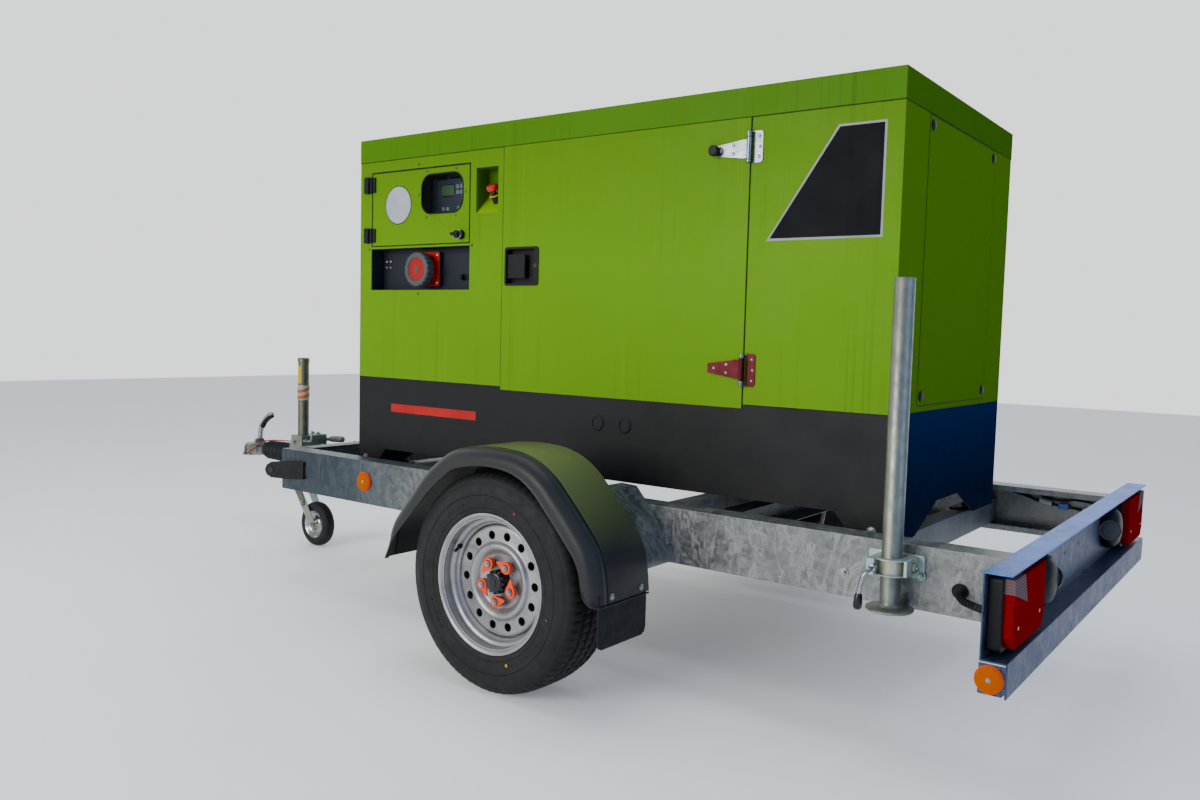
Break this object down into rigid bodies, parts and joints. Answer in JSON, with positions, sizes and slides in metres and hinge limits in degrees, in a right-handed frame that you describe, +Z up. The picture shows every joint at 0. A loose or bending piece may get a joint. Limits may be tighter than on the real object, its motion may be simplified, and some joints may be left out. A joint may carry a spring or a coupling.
{
  "type": "towable diesel generator",
  "caption": "Silenced diesel generating set in a lime steel canopy on a dark base, carried by a braked road trailer with jockey wheel and rear prop stand.",
  "frame": {"origin": "bottom centre of the whole object's box, level on its tyres and jockey wheel", "axes": "+Z up, +X towards the rear light bar (the trailer is towed towards -X), -Y the side with the control door"},
  "size_m": [3.97, 1.96, 1.685],
  "materials": {
    "lime_coat": "fine-texture polyester powder coat, satin",
    "charcoal_coat": "dark grey powder coat, satin, fine texture",
    "galvanised": "hot-dip galvanised with small spangle",
    "zinc_plate": "yellow-blue zinc passivate, satin",
    "bright_steel": "polished stainless",
    "tyre_rubber": "black tyre rubber",
    "jockey_rubber": "black solid rubber",
    "gaiter_rubber": "black moulded bellows rubber",
    "black_plastic": "black moulded plastic, fine grain",
    "wheel_silver": null,
    "red_plastic": "signal red moulded plastic",
    "cast_grey": null,
    "aluminium": "cast aluminium, as cast",
    "sheet_steel": "aluminised exhaust steel"
  },
  "bodies": {
    "chassis": {"chassis_rail_left": "galvanised", "chassis_rail_right": "galvanised", "front_crossmember": "galvanised", "body_crossmember_front": "galvanised", "body_crossmember_middle": "galvanised", "body_crossmember_rear": "galvanised", "rear_light_bar": "galvanised", "torsion_axle": "galvanised", "drawbar": "galvanised", "overrun_housing": "zinc_plate", "coupling_gaiter": "gaiter_rubber", "jockey_clamp": "zinc_plate", "mudguard_left": "black_plastic", "mudguard_right": "black_plastic", "mudguard_bracket_left": "galvanised", "mudguard_bracket_right": "galvanised", "prop_stand_bracket": "zinc_plate", "tail_lamp_left": "black_plastic", "tail_lamp_right": "black_plastic", "light_conduit": "black_plastic", "skid_base": "charcoal_coat", "fuel_tank": "black_plastic", "roof_panel": "lime_coat", "side_panel_front_left": "lime_coat", "side_panel_rear_left": "lime_coat", "side_panel_front_right": "lime_coat", "side_panel_rear_right": "lime_coat", "front_end_panel": "lime_coat", "rear_end_panel": "lime_coat", "control_module": "black_plastic", "socket_recess": "charcoal_coat", "engine": "cast_grey", "alternator": "aluminium", "radiator": "aluminium", "silencer": "sheet_steel"},
    "coupling": {"coupling_head": "zinc_plate", "breakaway_cable": "red_plastic"},
    "coupling_handle": {"coupling_handle": "zinc_plate"},
    "handbrake_lever": {"handbrake_lever": "zinc_plate"},
    "jockey_tube": {"jockey_tube": "zinc_plate"},
    "jockey_fork": {"jockey_fork": "zinc_plate"},
    "jockey_wheel": {"jockey_wheel": "jockey_rubber"},
    "jockey_clamp_handle": {"jockey_clamp_handle": "zinc_plate"},
    "wheel_left": {"road_wheel_left": "wheel_silver", "tyre_left": "tyre_rubber"},
    "wheel_right": {"road_wheel_right": "wheel_silver", "tyre_right": "tyre_rubber"},
    "prop_stand": {"prop_stand_tube": "zinc_plate"},
    "prop_clamp_handle": {"prop_clamp_handle": "bright_steel"},
    "door_left": {"service_door_left": "lime_coat", "upper_hinge_strap": "bright_steel", "lower_hinge_strap": "bright_steel"},
    "door_right": {"service_door_right": "lime_coat"},
    "latch_paddle_left": {"latch_paddle_left": "black_plastic"},
    "latch_paddle_right": {"latch_paddle_right": "black_plastic"},
    "control_door": {"control_door": "lime_coat"},
    "door_lock_knob": {"door_lock_knob": "bright_steel"},
    "socket_cap": {"socket_cap": "red_plastic"},
    "stop_button": {"stop_button": "red_plastic"},
    "cooling_fan": {"cooling_fan": "black_plastic"}
  },
  "joints": [
    {"name": "coupling_overrun", "type": "slide", "parent": "chassis", "child": "coupling", "axis": [1, 0, 0], "range_m": [0, 0.09], "stiffness_N_per_m": 5000, "springref_m": -0.02, "deforming": ["coupling_gaiter"]},
    {"name": "coupling_handle_lift", "type": "hinge", "parent": "coupling", "child": "coupling_handle", "pos_m": [-1.882, 0, 0.4155], "axis": [0, -1, 0], "range_deg": [0, 45], "stiffness_Nm_per_rad": 6, "springref_deg": -11.46},
    {"name": "handbrake_pull", "type": "hinge", "parent": "chassis", "child": "handbrake_lever", "pos_m": [-1.415, 0, 0.455], "axis": [0, -1, 0], "range_deg": [0, 90]},
    {"name": "jockey_height", "type": "slide", "parent": "chassis", "child": "jockey_tube", "axis": [0, 0, 1], "range_m": [-0.15, 0.11]},
    {"name": "jockey_caster", "type": "hinge", "parent": "jockey_tube", "child": "jockey_fork", "pos_m": [-1.34, -0.13, 0.27], "axis": [0, 0, 1], "continuous": true},
    {"name": "jockey_wheel_spin", "type": "hinge", "parent": "jockey_fork", "child": "jockey_wheel", "pos_m": [-1.23, -0.13, 0.09927], "axis": [0, 1, 0], "continuous": true},
    {"name": "jockey_clamp_turn", "type": "hinge", "parent": "chassis", "child": "jockey_clamp_handle", "pos_m": [-1.295, -0.15, 0.473], "axis": [1, 0, 0], "range_deg": [-90, 90]},
    {"name": "wheel_left_spin", "type": "hinge", "parent": "chassis", "child": "wheel_left", "pos_m": [0.645, -0.867, 0.30882], "axis": [0, 1, 0], "continuous": true},
    {"name": "wheel_right_spin", "type": "hinge", "parent": "chassis", "child": "wheel_right", "pos_m": [0.645, 0.867, 0.30882], "axis": [0, 1, 0], "continuous": true},
    {"name": "prop_stand_drop", "type": "slide", "parent": "chassis", "child": "prop_stand", "axis": [0, 0, -1], "range_m": [-0.06, 0.37]},
    {"name": "prop_clamp_turn", "type": "hinge", "parent": "chassis", "child": "prop_clamp_handle", "pos_m": [1.647, -0.73, 0.48], "axis": [0, 1, 0], "range_deg": [-90, 90]},
    {"name": "door_left_swing", "type": "hinge", "parent": "chassis", "child": "door_left", "pos_m": [1.145, -0.4875, 1.2], "axis": [0, 0, 1], "range_deg": [0, 110]},
    {"name": "door_right_swing", "type": "hinge", "parent": "chassis", "child": "door_right", "pos_m": [1.145, 0.4875, 1.2], "axis": [0, 0, -1], "range_deg": [0, 110]},
    {"name": "latch_left_pull", "type": "hinge", "parent": "door_left", "child": "latch_paddle_left", "pos_m": [0.246, -0.4735, 1.211], "axis": [0, 0, -1], "range_deg": [0, 40], "stiffness_Nm_per_rad": 0.5, "springref_deg": -5.73},
    {"name": "latch_right_pull", "type": "hinge", "parent": "door_right", "child": "latch_paddle_right", "pos_m": [0.246, 0.4735, 1.211], "axis": [0, 0, 1], "range_deg": [0, 40], "stiffness_Nm_per_rad": 0.5, "springref_deg": -5.73},
    {"name": "control_door_swing", "type": "hinge", "parent": "chassis", "child": "control_door", "pos_m": [-0.4455, -0.478, 1.428], "axis": [0, 0, -1], "range_deg": [0, 110]},
    {"name": "door_lock_turn", "type": "hinge", "parent": "control_door", "child": "door_lock_knob", "pos_m": [0.024, -0.49, 1.323], "axis": [0, 1, 0], "range_deg": [0, 90]},
    {"name": "socket_cap_lift", "type": "hinge", "parent": "chassis", "child": "socket_cap", "pos_m": [-0.2565, -0.456, 1.208], "axis": [0, 0, -1], "range_deg": [0, 100], "stiffness_Nm_per_rad": 0.3, "springref_deg": -17.19},
    {"name": "stop_button_press", "type": "slide", "parent": "chassis", "child": "stop_button", "axis": [0, 0.5, -0.866], "range_m": [0, 0.006], "stiffness_N_per_m": 700, "springref_m": -0.004},
    {"name": "cooling_fan_spin", "type": "hinge", "parent": "chassis", "child": "cooling_fan", "pos_m": [1.085, 0, 1], "axis": [1, 0, 0], "continuous": true}
  ]
}
